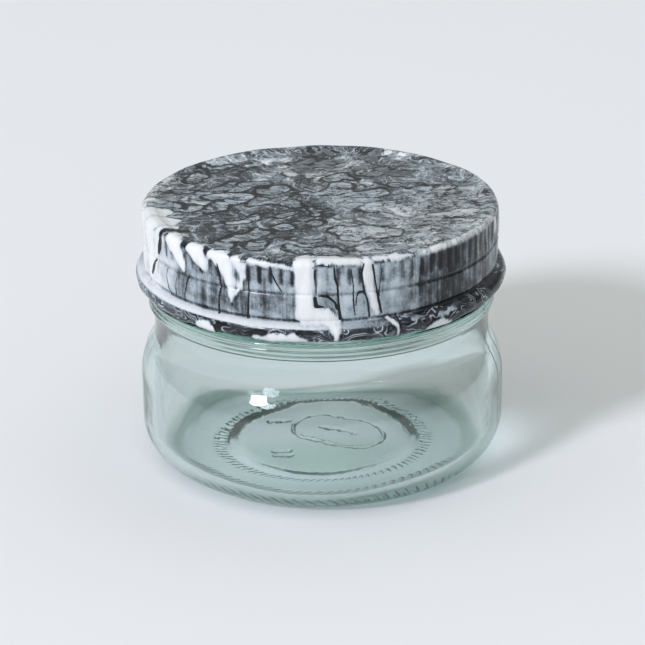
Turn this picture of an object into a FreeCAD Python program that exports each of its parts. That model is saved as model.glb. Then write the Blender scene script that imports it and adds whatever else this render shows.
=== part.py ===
"""Small round glass jar with a painted, fluted metal cap, used as a nail liquid dish.

Millimetres, +Z up. The origin is the centre of the base ring's footprint, and +Z is the jar's axis.
Every section is drawn in the XZ plane (radius across, height up) and revolved about Z.
"""
import FreeCAD, Part
import math
import os
import Sketcher

doc = FreeCAD.newDocument("lidded_jar")

DIMENSIONS = {
    # glass jar, outside
    "belly_radius": 29.87, "heel_radius": 7.0, "belly_top": 14.6, "shoulder_radius": 9.8,
    "shoulder_end": 28.38, "shoulder_height": 19.79, "neck_curve": 6.45, "neck_radius": 27.4,
    "neck_height": 23.2, "neck_flare": 10.2, "bead_radius": 28.3, "bead_lip": 0.35, "bead_bottom": 26.5,
    "bead_step": 0.2, "bead_top": 30.0, "bead_round": 0.4, "finish_foot": 30.4, "finish_radius": 26.6,
    "rim_height": 41.4, "rim_round": 0.9,
    # glass jar, inside and underneath
    "mouth_radius": 24.3, "mouth_round": 0.7, "throat_bottom": 25.28, "throat_curve": 12.76,
    "throat_end": 26.24, "throat_height": 18.52, "hollow_radius": 27.55, "hollow_top": 13.96,
    "hollow_curve": 8.6, "inner_heel": 4.9, "floor_edge": 2.0, "floor_middle": 2.1, "floor_flat": 8.0,
    "floor_curve": 400.0,
    "heel_end": 25.49, "heel_rise": 0.51, "sole_curve": 15.8, "bearing_outer": 21.5,
    "bearing_inner": 16.4, "bearing_curve": 3.0, "push_up_foot": 14.8, "push_up_step": 0.5,
    "push_up_curve": 60.0, "push_up_flat": 10.5, "push_up_height": 0.6,
    # glass jar, threads, bearing marks and base mark
    "thread_sink": 0.3, "thread_rise": 0.5, "thread_base": 1.8, "thread_slope": 0.55, "thread_foot": 34.6,
    "thread_turns": 0.2, "thread_pitch": 12.0, "thread_count": 6,
    "mark_inner": 17.2, "mark_length": 4.4, "mark_width": 0.6, "mark_depth": 0.15, "mark_lean": 25.0,
    "mark_count": 90, "oval_half": 3.6, "oval_round": 4.1, "oval_band": 0.5, "oval_height": 0.35,
    "oval_root": 0.6, "oval_across": 2.8, "oval_back": 0.4, "oval_turn": -20.0,
    # metal cap
    "sheet": 0.3, "skirt_radius": 28.5, "cap_top": 43.1, "panel_height": 42.5, "panel_radius": 26.4,
    "rim_inner": 27.0, "cap_round": 0.7, "ring_groove": 38.1, "ring_depth": 0.25, "ring_half": 0.35,
    "curl_height": 31.95, "curl_outer": 1.2, "curl_tail": 0.4, "crease": 0.15,
    "flute_count": 104, "flute_depth": 0.14, "flute_tool": 0.9, "flute_bottom": 38.7, "flute_run": 0.1,
    # sealing gasket
    "seal_inner": 24.9, "seal_side": 27.25, "seal_outer": 27.75, "seal_bottom": 34.6, "seal_land": 41.5,
    "seal_top": 42.1, "seal_step": 26.7, "seal_crown": 42.6,
    # paint skin
    "coat_panel": 0.45, "coat_rim": 0.4, "coat_side": 0.4, "coat_curl": 0.35, "coat_round": 1.05,
    "coat_crease": 0.25, "coat_flute_depth": 0.1, "coat_flute_tool": 1.1, "run_width": 1.0,
    "run_bulge": 0.65, "run_centre": 28.65,
}

# Where the thicker runs of paint hang on the skirt: angle about +Z, top and bottom heights.
PAINT_RUNS = [(-144, 42.2, 35.5), (-131, 42.4, 39.0), (-116, 42.4, 37.6), (-94, 42.6, 34.9),
              (-74, 42.4, 36.2), (-30, 42.3, 38.4), (18, 42.4, 36.8), (77, 42.2, 37.4), (140, 42.4, 36.0)]


def build_sheet():
    sheet = doc.addObject("Spreadsheet::Sheet", "Params")
    for row, (name, size) in enumerate(DIMENSIONS.items(), start=1):
        sheet.set(f"A{row}", name)
        sheet.set(f"B{row}", str(size))
        sheet.setAlias(f"B{row}", name)
    doc.recompute()
    return sheet


def amount(terms):
    """Value of a sum such as "skirt_radius -sheet"."""
    total = 0.0
    for word in terms.split():
        total += -DIMENSIONS[word[1:]] if word.startswith("-") else DIMENSIONS[word]
    return total


def formula(terms):
    """The same sum as an expression on the spreadsheet."""
    text = ""
    for word in terms.split():
        sign = "-" if word.startswith("-") else "+"
        text += f" {sign} Params.{word.lstrip('-')}"
    return text.removeprefix(" + ").strip()


def origin_plane(body, role):
    return next(item for item in body.Origin.OriginFeatures if item.Role == role)


def new_body(label):
    body = doc.addObject("PartDesign::Body", label)
    body.Label = label
    body.Placement = FreeCAD.Placement()
    return body


def new_sketch(body, name, role="XZ_Plane"):
    sketch = body.newObject("Sketcher::SketchObject", name)
    sketch.AttachmentSupport = [(origin_plane(body, role), "")]
    sketch.MapMode = "FlatFace"
    return sketch


def arc_between(start, end, radius, turn):
    """Arc from start to end; turn is +1 anticlockwise, -1 clockwise. Returns it and its end numbers."""
    chord = end - start
    middle = (start + end) * 0.5
    rise = math.sqrt(max(radius ** 2 - chord.Length ** 2 / 4, 0.0))
    left = FreeCAD.Vector(-chord.y, chord.x, 0).normalize()
    centre = middle + left * (rise * turn)
    first, last = (start, end) if turn > 0 else (end, start)
    angles = [math.atan2(p.y - centre.y, p.x - centre.x) for p in (first, last)]
    arc = Part.ArcOfCircle(Part.Circle(centre, FreeCAD.Vector(0, 0, 1), radius), angles[0], angles[1])
    return arc, ((1, 2) if turn > 0 else (2, 1))


def bind(sketch, kind, *where, terms):
    index = sketch.addConstraint(Sketcher.Constraint(kind, *where, amount(terms)))
    sketch.setExpression(f"Constraints[{index}]", formula(terms))


def draw_section(sketch, corners):
    """Closed outline. Each corner is (radius terms, height terms, edge), and the edge to the next corner
    is None for a line or (turn, radius terms) for an arc. Empty terms put the corner on that axis."""
    points = [FreeCAD.Vector(amount(across), amount(up), 0) for across, up, _ in corners]
    edges = []
    for index, (_, _, edge) in enumerate(corners):
        start, end = points[index], points[(index + 1) % len(points)]
        if edge is None:
            edges.append((sketch.addGeometry(Part.LineSegment(start, end)), (1, 2)))
            continue
        arc, ends = arc_between(start, end, amount(edge[1]), edge[0])
        edges.append((sketch.addGeometry(arc), ends))
    for index, (edge, ends) in enumerate(edges):
        following, next_ends = edges[(index + 1) % len(edges)]
        sketch.addConstraint(Sketcher.Constraint("Coincident", edge, ends[1], following, next_ends[0]))
    for (edge, ends), (across, up, shape) in zip(edges, corners):
        if across:
            bind(sketch, "DistanceX", -1, 1, edge, ends[0], terms=across)
        else:
            sketch.addConstraint(Sketcher.Constraint("PointOnObject", edge, ends[0], -2))
        if up:
            bind(sketch, "DistanceY", -1, 1, edge, ends[0], terms=up)
        else:
            sketch.addConstraint(Sketcher.Constraint("PointOnObject", edge, ends[0], -1))
        if shape:
            bind(sketch, "Radius", edge, terms=shape[1])


def revolve(body, name, corners):
    sketch = new_sketch(body, f"{name}_section")
    draw_section(sketch, corners)
    solid = body.newObject("PartDesign::Revolution", name)
    solid.Profile = sketch
    solid.ReferenceAxis = (sketch, ["V_Axis"])
    solid.Angle = 360
    return solid


def around_axis(body, name, feature, count):
    """Repeats a feature evenly about Z."""
    pattern = body.newObject("PartDesign::PolarPattern", name)
    pattern.Originals = [feature]
    pattern.Axis = (next(item for item in body.Origin.OriginFeatures if item.Role == "Z_Axis"), [""])
    pattern.Angle = 360
    pattern.setExpression("Occurrences", f"Params.{count}")
    body.Tip = pattern
    return pattern


def make_thread(body):
    """One raised thread start on the finish, repeated around the mouth."""
    sketch = new_sketch(body, "thread_section")
    draw_section(sketch, [
        ("finish_radius -thread_sink", "thread_foot", None),
        ("finish_radius", "thread_foot", None),
        ("finish_radius thread_rise", "thread_foot thread_slope", None),
        ("finish_radius thread_rise", "thread_foot thread_base -thread_slope", None),
        ("finish_radius", "thread_foot thread_base", None),
        ("finish_radius -thread_sink", "thread_foot thread_base", None),
    ])
    thread = body.newObject("PartDesign::AdditiveHelix", "thread")
    thread.Profile = sketch
    thread.ReferenceAxis = (sketch, ["V_Axis"])
    thread.Mode = "pitch-turns-angle"
    thread.setExpression("Pitch", "Params.thread_pitch")
    thread.setExpression("Turns", "Params.thread_turns")
    return around_axis(body, "threads", thread, "thread_count")


def make_bearing_marks(body):
    """Short slanting nicks pressed into the ring that the jar stands on."""
    mark = body.newObject("PartDesign::SubtractiveBox", "bearing_mark")
    mark.setExpression("Length", "Params.mark_length")
    mark.setExpression("Width", "Params.mark_width")
    mark.setExpression("Height", "2 * Params.mark_depth")
    mark.setExpression("Placement.Base.x", "Params.mark_inner")
    mark.setExpression("Placement.Base.z", "-Params.mark_depth")
    mark.setExpression("Placement.Rotation.Angle", "Params.mark_lean")
    return around_axis(body, "bearing_marks", mark, "mark_count")


def make_base_mark(body):
    """Plain raised oval band under the middle of the base."""
    sketch = new_sketch(body, "oval_outline", "XY_Plane")
    for place, name in (("Base.x", "oval_across"), ("Base.y", "oval_back"), ("Base.z", "oval_height"),
                        ("Rotation.Angle", "oval_turn")):
        sketch.setExpression(f"AttachmentOffset.{place}", f"Params.{name}")
    for inset in ("", " -oval_band"):
        tight = f"oval_round{inset}"
        low = f"-oval_round{' oval_band' if inset else ''}"
        tip = f"oval_half oval_round{inset}"
        far = f"-oval_half {low}"
        draw_section(sketch, [
            ("-oval_half", low, None), ("oval_half", low, (1, tight)), (tip, "", (1, tight)),
            ("oval_half", tight, None), ("-oval_half", tight, (1, tight)), (far, "", (1, tight)),
        ])
    oval = body.newObject("PartDesign::Pad", "base_mark")
    oval.Profile = sketch
    oval.setExpression("Length", "Params.oval_root")
    return oval


def make_glass_jar():
    body = new_body("glass_jar")
    revolve(body, "vessel", [
        ("bearing_inner", "", None),
        ("bearing_outer", "", (1, "sole_curve")),
        ("heel_end", "heel_rise", (1, "heel_radius")),
        ("belly_radius", "heel_radius", None),
        ("belly_radius", "belly_top", (1, "shoulder_radius")),
        ("shoulder_end", "shoulder_height", (-1, "neck_curve")),
        ("neck_radius", "neck_height", (-1, "neck_flare")),
        ("bead_radius -bead_lip", "bead_bottom", None),
        ("bead_radius", "bead_bottom bead_step", None),
        ("bead_radius", "bead_top -bead_round", (1, "bead_round")),
        ("bead_radius -bead_round", "bead_top", None),
        ("finish_radius", "finish_foot", None),
        ("finish_radius", "rim_height -rim_round", (1, "rim_round")),
        ("finish_radius -rim_round", "rim_height", None),
        ("mouth_radius mouth_round", "rim_height", (1, "mouth_round")),
        ("mouth_radius", "rim_height -mouth_round", None),
        ("mouth_radius", "throat_bottom", (1, "throat_curve")),
        ("throat_end", "throat_height", (-1, "hollow_curve")),
        ("hollow_radius", "hollow_top", None),
        ("hollow_radius", "floor_edge inner_heel", (-1, "inner_heel")),
        ("hollow_radius -inner_heel", "floor_edge", (1, "floor_curve")),
        ("floor_flat", "floor_middle", None),
        ("", "floor_middle", None),
        ("", "push_up_height", None),
        ("push_up_flat", "push_up_height", (-1, "push_up_curve")),
        ("push_up_foot", "push_up_step", (-1, "bearing_curve")),
    ])
    make_thread(body)
    make_base_mark(body)
    make_bearing_marks(body)
    return body


def cap_outside():
    """Outer corners of the metal cap, from the middle of its panel to the top of its curl."""
    return [
        ("", "panel_height", None),
        ("panel_radius", "panel_height", None),
        ("rim_inner", "cap_top", None),
        ("skirt_radius -cap_round", "cap_top", (-1, "cap_round")),
        ("skirt_radius", "cap_top -cap_round", None),
        ("skirt_radius", "ring_groove ring_half", None),
        ("skirt_radius -ring_depth", "ring_groove", None),
        ("skirt_radius", "ring_groove -ring_half", None),
        ("skirt_radius", "curl_height curl_outer crease", (1, "crease")),
        ("skirt_radius crease", "curl_height curl_outer", (-1, "curl_outer")),
        ("skirt_radius crease curl_outer", "curl_height", (-1, "curl_outer")),
    ]


def cut_flutes(body, name, surface, tool, depth):
    """Upright flutes around the skirt, running out over the rounded top edge."""
    flute = body.newObject("PartDesign::SubtractiveCylinder", f"{name}_flute")
    flute.setExpression("Radius", f"Params.{tool}")
    flute.setExpression("Height", "Params.cap_top + Params.coat_rim + Params.flute_run - Params.flute_bottom")
    flute.setExpression("Placement.Base.x", f"{formula(surface)} + Params.{tool} - Params.{depth}")
    flute.setExpression("Placement.Base.z", "Params.flute_bottom")
    return around_axis(body, f"{name}_flutes", flute, "flute_count")


def make_lid_shell():
    body = new_body("lid_shell")
    curl_inner = "curl_outer -sheet"
    revolve(body, "pressing", cap_outside() + [
        ("skirt_radius crease", "curl_height -curl_outer", (-1, "curl_outer")),
        ("skirt_radius crease -curl_outer", "curl_height", None),
        ("skirt_radius crease -curl_outer", "curl_height curl_tail", None),
        ("skirt_radius crease -curl_outer sheet", "curl_height curl_tail", None),
        ("skirt_radius crease -curl_outer sheet", "curl_height", (1, curl_inner)),
        ("skirt_radius crease", "curl_height -curl_outer sheet", (1, curl_inner)),
        ("skirt_radius crease curl_outer -sheet", "curl_height", (1, curl_inner)),
        ("skirt_radius crease", "curl_height curl_outer -sheet", (-1, "crease sheet")),
        ("skirt_radius -sheet", "curl_height curl_outer crease", None),
        ("skirt_radius -sheet", "ring_groove -ring_half", None),
        ("skirt_radius -sheet -ring_depth", "ring_groove", None),
        ("skirt_radius -sheet", "ring_groove ring_half", None),
        ("skirt_radius -sheet", "cap_top -cap_round", (1, "cap_round -sheet")),
        ("skirt_radius -cap_round", "cap_top -sheet", None),
        ("rim_inner", "cap_top -sheet", None),
        ("panel_radius", "panel_height -sheet", None),
        ("", "panel_height -sheet", None),
    ])
    cut_flutes(body, "cap", "skirt_radius", "flute_tool", "flute_depth")
    return body


def make_sealing_gasket():
    body = new_body("sealing_gasket")
    revolve(body, "liner", [
        ("seal_inner", "seal_land", None),
        ("seal_side", "seal_land", None),
        ("seal_side", "seal_bottom", None),
        ("seal_outer", "seal_bottom", None),
        ("seal_outer", "seal_crown", None),
        ("seal_step crease crease", "seal_crown", None),
        ("seal_step", "seal_top", None),
        ("seal_inner", "seal_top", None),
    ])
    return body


def add_paint_run(body, number, angle, top, bottom):
    """A sag of thicker paint on the skirt, as a long ellipsoid half sunk in it."""
    run = body.newObject("PartDesign::AdditiveEllipsoid", f"run_{number}")
    run.Radius1 = (top - bottom) / 2
    run.setExpression("Radius2", "Params.run_bulge")
    run.setExpression("Radius3", "Params.run_width")
    turn = FreeCAD.Rotation(FreeCAD.Vector(0, 0, 1), angle)
    centre = turn.multVec(FreeCAD.Vector(DIMENSIONS["run_centre"], 0, (top + bottom) / 2))
    run.Placement = FreeCAD.Placement(centre, turn)


def make_paint_coat():
    body = new_body("paint_coat")
    side = "skirt_radius coat_side"
    revolve(body, "pour", [
        ("", "panel_height coat_panel", None),
        ("panel_radius", "panel_height coat_panel", None),
        ("rim_inner", "cap_top coat_rim", None),
        (f"{side} -coat_round", "cap_top coat_rim", (-1, "coat_round")),
        (side, "cap_top coat_rim -coat_round", None),
        (side, "ring_groove ring_half", None),
        (f"{side} -ring_depth", "ring_groove", None),
        (side, "ring_groove -ring_half", None),
        (side, "curl_height curl_outer coat_curl coat_crease coat_crease", None),
        ("skirt_radius crease", "curl_height curl_outer coat_curl coat_crease", None),
        ("skirt_radius crease", "curl_height curl_outer coat_curl", (-1, "curl_outer coat_curl")),
        ("skirt_radius crease curl_outer coat_curl", "curl_height", (-1, "curl_outer coat_curl")),
        ("skirt_radius crease", "curl_height -curl_outer -coat_curl", None),
        ("", "curl_height -curl_outer -coat_curl", None),
    ])
    cut_flutes(body, "coat", side, "coat_flute_tool", "coat_flute_depth")
    for number, (angle, top, bottom) in enumerate(PAINT_RUNS, start=1):
        add_paint_run(body, number, angle, top, bottom)
    sketch = new_sketch(body, "cap_envelope")
    draw_section(sketch, cap_outside() + [
        ("skirt_radius crease", "curl_height -curl_outer", None),
        ("skirt_radius crease", "curl_height -curl_outer -coat_curl -sheet", None),
        ("", "curl_height -curl_outer -coat_curl -sheet", None),
    ])
    inside = body.newObject("PartDesign::Groove", "cap_room")
    inside.Profile = sketch
    inside.ReferenceAxis = (sketch, ["V_Axis"])
    inside.Angle = 360
    return body


def check_document():
    for item in doc.Objects:
        bad = [state for state in item.State if state in ("Invalid", "Error")]
        if bad:
            raise RuntimeError(f"{item.Label}: {bad}")
        shape = getattr(item, "Shape", None)
        if shape is None or item.TypeId.startswith(("App::", "Sketcher::")):
            continue
        if shape.isNull() or not shape.isValid():
            raise RuntimeError(f"{item.Label}: empty or invalid shape")


def check_cuts(body):
    """Every feature that removes material must have made the solid smaller, and the others larger."""
    previous = 0.0
    for item in body.Group:
        if item.TypeId.startswith("Sketcher::") or not hasattr(item, "Shape"):
            continue
        volume = item.Shape.Volume
        removes = item.TypeId.endswith("Groove") or "Subtractive" in item.TypeId
        if removes and volume >= previous:
            raise RuntimeError(f"{item.Label} cuts nothing")
        if not removes and "Pattern" not in item.TypeId and volume <= previous:
            raise RuntimeError(f"{item.Label} adds nothing")
        previous = volume


build_sheet()
BODIES = [make_glass_jar(), make_lid_shell(), make_sealing_gasket(), make_paint_coat()]
doc.recompute()
check_document()
os.makedirs("parts", exist_ok=True)
for part_body in BODIES:
    check_cuts(part_body)
    part_body.Shape.exportStep(f"parts/{part_body.Label}.step")
    print(part_body.Label, len(part_body.Shape.Solids), "solid", round(part_body.Shape.Volume, 1), "mm3")
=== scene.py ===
"""Looks for the lidded glass dish: moulded glass jar, pressed metal cap, gasket and poured paint skin.

Sizes are in millimetres until a mesh is written, and the frame's origin and axes are the CAD's own.
Round pieces are lathed from a section (radius, height), and relief is added around the axis.
Bearings are in degrees from the front (-Y), positive towards +X.
"""

import math
import random

import bpy
import numpy as np
from mathutils import Matrix, Vector


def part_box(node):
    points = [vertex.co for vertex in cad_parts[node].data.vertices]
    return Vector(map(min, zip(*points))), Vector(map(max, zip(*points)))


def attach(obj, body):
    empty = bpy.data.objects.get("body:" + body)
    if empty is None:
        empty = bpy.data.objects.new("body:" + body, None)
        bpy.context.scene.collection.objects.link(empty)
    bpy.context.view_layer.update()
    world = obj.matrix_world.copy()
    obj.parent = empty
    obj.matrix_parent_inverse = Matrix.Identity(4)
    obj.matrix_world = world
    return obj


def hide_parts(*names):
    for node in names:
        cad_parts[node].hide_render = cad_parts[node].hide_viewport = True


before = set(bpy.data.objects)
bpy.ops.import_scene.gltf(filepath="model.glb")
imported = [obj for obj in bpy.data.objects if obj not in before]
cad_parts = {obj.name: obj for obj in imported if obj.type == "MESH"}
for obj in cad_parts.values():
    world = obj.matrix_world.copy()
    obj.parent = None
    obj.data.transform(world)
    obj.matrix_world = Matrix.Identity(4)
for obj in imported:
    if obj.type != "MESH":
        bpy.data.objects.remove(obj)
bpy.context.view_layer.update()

MM = 0.001
RIM_HEIGHT = (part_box("glass_jar")[1] / MM).z
COAT_TOP = (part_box("paint_coat")[1] / MM).z

# --- sections -----------------------------------------------------------------------------------


def arc(centre, radius, start, end, step=0.25):
    """Points on an arc of a section; angles in degrees, 0 outward, 90 up."""
    count = max(3, int(abs(math.radians(end - start)) * radius / step))
    angles = np.radians(np.linspace(start, end, count + 1))
    return [(centre[0] + radius * math.cos(a), centre[1] + radius * math.sin(a)) for a in angles]


def resample(points, spacing):
    """The same section with a point about every spacing(radius, height, share) millimetres, where share
    is how far along the section it is."""
    points = np.array(points, float)
    keep = np.r_[True, np.hypot(*np.diff(points, axis=0).T) > 1e-6]
    points = points[keep]
    lengths = np.r_[0.0, np.cumsum(np.hypot(*np.diff(points, axis=0).T))]
    places, here = [0.0], 0.0
    while here < lengths[-1]:
        radius = np.interp(here, lengths, points[:, 0])
        height = np.interp(here, lengths, points[:, 1])
        here += spacing(radius, height, here / lengths[-1])
        places.append(min(here, lengths[-1]))
    if places[-1] - places[-2] < 0.02:
        places.pop(-2)
    return np.column_stack([np.interp(places, lengths, points[:, axis]) for axis in (0, 1)])


def section_normals(points):
    """Unit normals on the left of the section's direction of travel."""
    along = np.gradient(points, axis=0)
    along /= np.maximum(np.hypot(along[:, 0], along[:, 1]), 1e-9)[:, None]
    return np.column_stack([-along[:, 1], along[:, 0]])


def lathe(name, points, segments, turning, relief=None, layers=None):
    """Revolves a section that starts and ends on the axis. turning is the point (radius, height) where it
    turns back. relief(bearing, radius, height, returning) moves each point along the section's normal,
    and each of layers gives a value a point in the same way."""
    bearing = np.linspace(-180, 180, segments, endpoint=False)
    normals = section_normals(points)
    turned = np.argmin(np.hypot(points[:, 0] - turning[0], points[:, 1] - turning[1]))
    returning = np.repeat((np.arange(len(points)) > turned)[:, None], segments, axis=1)
    turn, radius = np.meshgrid(bearing, points[:, 0])
    height = np.repeat(points[:, 1:2], segments, axis=1)
    push = relief(turn, radius, height, returning) if relief else np.zeros_like(radius)
    far, up = radius + push * normals[:, :1], height + push * normals[:, 1:]
    grid = np.stack([far * np.sin(np.radians(turn)), -far * np.cos(np.radians(turn)), up], axis=-1)[1:-1]
    index = np.arange(len(grid) * segments).reshape(-1, segments)
    ahead = np.roll(index, -1, axis=1)
    quads = np.stack([index[:-1], index[1:], ahead[1:], ahead[:-1]], axis=-1).reshape(-1, 4)
    first, last = index.size, index.size + 1
    faces = quads.tolist()
    faces += [(first, a, b) for a, b in zip(index[0].tolist(), ahead[0].tolist())]
    faces += [(last, b, a) for a, b in zip(index[-1].tolist(), ahead[-1].tolist())]
    ends = [[0, 0, up[0].mean()], [0, 0, up[-1].mean()]]
    mesh = bpy.data.meshes.new(name)
    mesh.from_pydata((np.vstack([grid.reshape(-1, 3), ends]) * MM).tolist(), [], faces)
    mesh.shade_smooth()
    for layer, values in (layers or {}).items():
        field = values(turn, radius, height, returning)
        field = np.r_[field[1:-1].reshape(-1), field[0].mean(), field[-1].mean()]
        mesh.attributes.new(layer, "FLOAT", "POINT").data.foreach_set("value", field.astype(np.float32))
    piece = bpy.data.objects.new(name, mesh)
    bpy.context.scene.collection.objects.link(piece)
    return piece


# --- small numeric helpers ----------------------------------------------------------------------


def smooth(low, high, value):
    """Rises smoothly from 0 at low to 1 at high."""
    part = np.clip((value - low) / (high - low), 0, 1)
    return part * part * (3 - 2 * part)


def ripple(seed, bearing, height, waves, across=6, upward=0.35):
    """Slow seamless unevenness, about -1 to 1."""
    chance = random.Random(seed)
    total = np.zeros_like(bearing)
    for _ in range(waves):
        turns = chance.randint(1, across)
        rise = chance.uniform(-upward, upward)
        total += np.sin(np.radians(bearing) * turns + height * rise + chance.uniform(0, 2 * math.pi))
    return total / math.sqrt(waves)


# --- glass jar ----------------------------------------------------------------------------------

BELLY, HEEL, NECK, BEAD, FINISH, MOUTH, HOLLOW = 29.87, 7.0, 27.4, 28.3, 26.6, 24.3, 27.55
THREAD_STARTS, THREAD_LEAD, THREAD_SPAN, THREAD_HEIGHT, THREAD_LOW = 6, 12.0, 72.0, 0.5, 35.5
MARKS, RING_DEPTH, ARC_DEPTH = 90, 0.15, 0.22
SEAM_BEARINGS, SEAM_RISE = (-97.0, 83.0), 0.07
STEP_RADIUS, STEP_RISE, STEP_WIDTH = 14.8, 0.24, 0.8
OVAL_X, OVAL_Y, OVAL_LEAN, OVAL_HALF, OVAL_ROUND = 2.6, 2.2, math.radians(-26), 3.2, 4.9
# each bar is (x, y, half length, half width)
BARS = ((-7.6, 7.0, 1.5, 0.5), (-7.0, -5.2, 1.1, 0.5), (-6.6, -6.9, 1.2, 0.4))
MARK_RISE = 0.28
JAR_SEGMENTS = 768


def jar_section():
    """From the middle of the floor, up the inside, over the rim, down the outside to under the base."""
    points = [(0, 2.1), (8.0, 2.1), (HOLLOW - 4.9, 2.0)]
    points += arc((HOLLOW - 4.9, 6.9), 4.9, -90, 0)
    points += arc((HOLLOW - 8.6, 13.96), 8.6, 0, 32)
    points += arc((37.06, 25.28), 12.76, 212, 180)
    points += [(MOUTH, RIM_HEIGHT - 0.7)] + arc((MOUTH + 0.7, RIM_HEIGHT - 0.7), 0.7, 180, 90, 0.1)
    points += arc((FINISH - 0.9, RIM_HEIGHT - 0.9), 0.9, 90, 0, 0.1)
    points += [(FINISH, 29.9), (BEAD - 0.4, 29.45)] + arc((BEAD - 0.45, 29.0), 0.45, 90, 0, 0.1)
    points += [(BEAD - 0.02, 28.8), (BEAD - 0.2, 28.6), (BEAD - 0.18, 28.4), (BEAD + 0.02, 28.1)]
    points += arc((BEAD - 0.65, 27.3), 0.7, 35, -62, 0.1)
    points += arc((NECK + 10.2, 23.2), 10.2, 160, 180)
    points += arc((NECK + 6.45, 23.2), 6.45, 180, 212)
    points += arc((BELLY - 9.8, 14.6), 9.8, 32, 0)
    points += [(BELLY, HEEL)] + arc((BELLY - HEEL, HEEL), HEEL, 0, -66)
    points += [(24.2, 0.26), (22.8, 0.07), (21.5, 0.0), (16.4, 0.0)]
    points += [(16.0, 0.06), (15.6, 0.18), (15.2, 0.34), (14.8, 0.47), (14.3, 0.55), (10.5, 0.6), (0, 0.6)]
    return points


def jar_spacing(radius, height, share):
    """Finest under the base and on the finish."""
    if height < 1.5:
        return 0.17
    if height < 3.0:
        return 0.35
    return 0.2 if radius > 26.3 and height > 26 else 0.45


def stadium(x, y, half, around):
    """Distance to a straight-sided oval, negative inside."""
    return np.hypot(np.maximum(np.abs(x) - half, 0), y) - around


def thread_relief(bearing, radius, height):
    """Short rising threads around the finish."""
    push = np.zeros_like(radius)
    for start in range(THREAD_STARTS):
        begin = -180 + start * 360 / THREAD_STARTS
        swept = (bearing - begin) % 360
        middle = THREAD_LOW + THREAD_LEAD * swept / 360
        ends = smooth(0, 5, swept) * smooth(THREAD_SPAN, THREAD_SPAN - 5, swept)
        push += THREAD_HEIGHT * ends * smooth(0.95, 0.35, np.abs(height - middle)) * (radius > 26)
    return push


def nick_relief(bearing, radius, height):
    """Slanting nicks: a ring of them under the base, and an arc along the front of the heel."""
    around = np.radians(bearing) * MARKS + 2.1 * (radius - 18.0)
    nick = smooth(0.0, 0.7, np.sin(around + 0.8 * ripple(11, bearing, radius, 5, across=11)))
    ring = nick * smooth(16.0, 16.5, radius) * smooth(18.2, 17.2, radius) * smooth(1.1, 0.7, height)
    front = nick * smooth(22.4, 23.0, radius) * smooth(26.6, 25.8, radius)
    front *= smooth(68, 48, np.abs(bearing)) * smooth(2.4, 1.5, height)
    return -(RING_DEPTH * ring + ARC_DEPTH * front)


def mark_relief(bearing, radius, height):
    """A plain raised oval under the base with a bar in it, and plain bars beside it."""
    turn = np.radians(bearing)
    x, y = radius * np.sin(turn), -radius * np.cos(turn)
    along = (x - OVAL_X) * math.cos(OVAL_LEAN) + (y - OVAL_Y) * math.sin(OVAL_LEAN)
    over = -(x - OVAL_X) * math.sin(OVAL_LEAN) + (y - OVAL_Y) * math.cos(OVAL_LEAN)
    edge = stadium(along, over, OVAL_HALF, OVAL_ROUND)
    mark = np.maximum(smooth(0.45, 0.1, np.abs(edge)), 0.4 * smooth(0.1, -0.7, edge))
    mark = np.maximum(mark, smooth(0.25, -0.1, stadium(along, over - 0.2, 3.4, 0.35)))
    for bar_x, bar_y, half, thick in BARS:
        mark = np.maximum(mark, smooth(0.25, -0.1, stadium(x - bar_x, y - bar_y, half, thick)))
    return MARK_RISE * mark * (height < 1.2)


def jar_relief(bearing, radius, height, outside):
    """All that the mould and the hand of the glass add to the plain section."""
    # slow waviness, stronger on the side that the mould never touched
    waves = 0.13 * ripple(3, bearing, height, 9) * smooth(12, 16, radius) * smooth(41, 38, height)
    push = np.where(outside, 0, waves)
    waves = 0.02 * ripple(5, bearing, height, 8, across=9)
    push += outside * waves * smooth(2, 6, height) * smooth(26, 24, height)
    push += outside * thread_relief(bearing, radius, height)
    for seam in SEAM_BEARINGS:
        away = np.abs((bearing - seam + 180) % 360 - 180) * np.pi / 180 * radius
        along = smooth(1.5, 3, height) * smooth(42, 25, height)
        push += outside * SEAM_RISE * smooth(0.35, 0.05, away) * along
    push += outside * nick_relief(bearing, radius, height)
    push += outside * mark_relief(bearing, radius, height)
    # low round step on the floor inside
    step = np.exp(-((radius - STEP_RADIUS) / STEP_WIDTH) ** 2) * (height < 4)
    return push + (~outside) * STEP_RISE * step


def make_jar():
    section = resample(jar_section(), jar_spacing)
    jar = lathe("jar_glass_body", section, JAR_SEGMENTS, (FINISH - 0.9, RIM_HEIGHT), jar_relief)
    jar.data.materials.append(glass_material())
    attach(jar, "jar")
    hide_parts("glass_jar")


# --- shader helpers -----------------------------------------------------------------------------


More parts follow.
